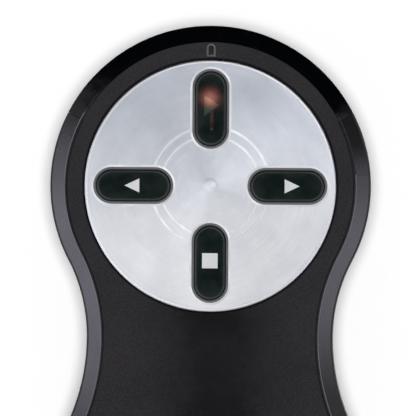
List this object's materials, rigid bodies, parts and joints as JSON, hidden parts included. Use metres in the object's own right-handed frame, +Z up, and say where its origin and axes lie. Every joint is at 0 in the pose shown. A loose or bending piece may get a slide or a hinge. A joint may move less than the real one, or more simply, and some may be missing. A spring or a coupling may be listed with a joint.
{
  "type": "wireless presentation clicker",
  "caption": "Hand-held presentation remote with a round head, keys in a brushed metal disc, a laser in the nose, AAA cells and a USB receiver stored in the tail.",
  "frame": {"origin": "middle of the footprint at the lowest point", "axes": "+Z up through the keys, +Y from the tail to the nose, +X to the right of a person who holds it"},
  "size_m": [0.042, 0.106, 0.0266],
  "materials": {
    "charcoal_plastic": "fine matte grain",
    "gloss_black": "high gloss",
    "clear_lens": "clear moulded",
    "brushed_disc": "spun brush, clear anodised",
    "adhesive": "double-sided film",
    "led_body": "moulded",
    "key_plastic": "high gloss, dark green-black",
    "legend_white": "inlaid",
    "legend_red": "translucent, lit from below",
    "white_plastic": "moulded",
    "switch_black": "moulded",
    "steel": "stamped",
    "screw_black": "blackened",
    "board_green": "solder mask",
    "chip_black": "epoxy",
    "brass": "turned",
    "gold": "plated",
    "cell_label": "plain foil sleeve, steel ends",
    "receiver_plastic": "satin",
    "usb_steel": "bright stamped",
    "usb_white": "moulded"
  },
  "bodies": {
    "case": {"upper_housing": "charcoal_plastic", "lower_housing": "charcoal_plastic", "front_window": "gloss_black", "laser_aperture_lens": "clear_lens", "face_disc": "brushed_disc", "disc_adhesive": "adhesive", "status_light_pipe": "clear_lens", "status_led": "led_body", "laser_switch": "switch_black", "back_switch": "switch_black", "next_switch": "switch_black", "stop_switch": "switch_black", "snap_domes": "steel", "main_board": "board_green", "radio_chip": "chip_black", "crystal": "steel", "board_passives": "chip_black", "laser_barrel": "brass", "laser_lens": "clear_lens", "laser_diode": "steel", "laser_board": "board_green", "laser_leads": "steel", "power_switch": "steel", "battery_left": "cell_label", "battery_right": "cell_label", "positive_contact": "steel", "negative_contact": "steel", "bridge_contact": "steel", "negative_spring": "steel", "bridge_spring": "steel", "housing_screws": "screw_black"},
    "laser_key": {"laser_button": "key_plastic", "laser_legend": "legend_red", "laser_plunger": "white_plastic"},
    "back_key": {"back_button": "key_plastic", "back_legend": "legend_white", "back_plunger": "white_plastic"},
    "next_key": {"next_button": "key_plastic", "next_legend": "legend_white", "next_plunger": "white_plastic"},
    "stop_key": {"stop_button": "key_plastic", "stop_legend": "legend_white", "stop_plunger": "white_plastic"},
    "power_slider": {"power_knob": "gloss_black"},
    "battery_cover": {"battery_door": "charcoal_plastic"},
    "receiver": {"receiver_top_cover": "receiver_plastic", "receiver_bottom_cover": "receiver_plastic", "receiver_board": "board_green", "receiver_chip": "chip_black", "usb_plug_shell": "usb_steel", "usb_tongue": "usb_white", "usb_contacts": "gold"}
  },
  "joints": [
    {"name": "laser_press", "type": "slide", "parent": "case", "child": "laser_key", "axis": [0, 0, -1], "range_m": [0, 0.0005], "stiffness_N_per_m": 3000, "springref_m": -0.0002},
    {"name": "back_press", "type": "slide", "parent": "case", "child": "back_key", "axis": [0, 0, -1], "range_m": [0, 0.0005], "stiffness_N_per_m": 3000, "springref_m": -0.0002},
    {"name": "next_press", "type": "slide", "parent": "case", "child": "next_key", "axis": [0, 0, -1], "range_m": [0, 0.0005], "stiffness_N_per_m": 3000, "springref_m": -0.0002},
    {"name": "stop_press", "type": "slide", "parent": "case", "child": "stop_key", "axis": [0, 0, -1], "range_m": [0, 0.0005], "stiffness_N_per_m": 3000, "springref_m": -0.0002},
    {"name": "power_slide", "type": "slide", "parent": "case", "child": "power_slider", "axis": [0, 1, 0], "range_m": [0, 0.002]},
    {"name": "battery_door_slide", "type": "slide", "parent": "case", "child": "battery_cover", "axis": [0, -1, 0], "range_m": [0, 0.062]},
    {"name": "receiver_slide", "type": "slide", "parent": "case", "child": "receiver", "axis": [0, -1, 0], "range_m": [0, 0.055]}
  ]
}
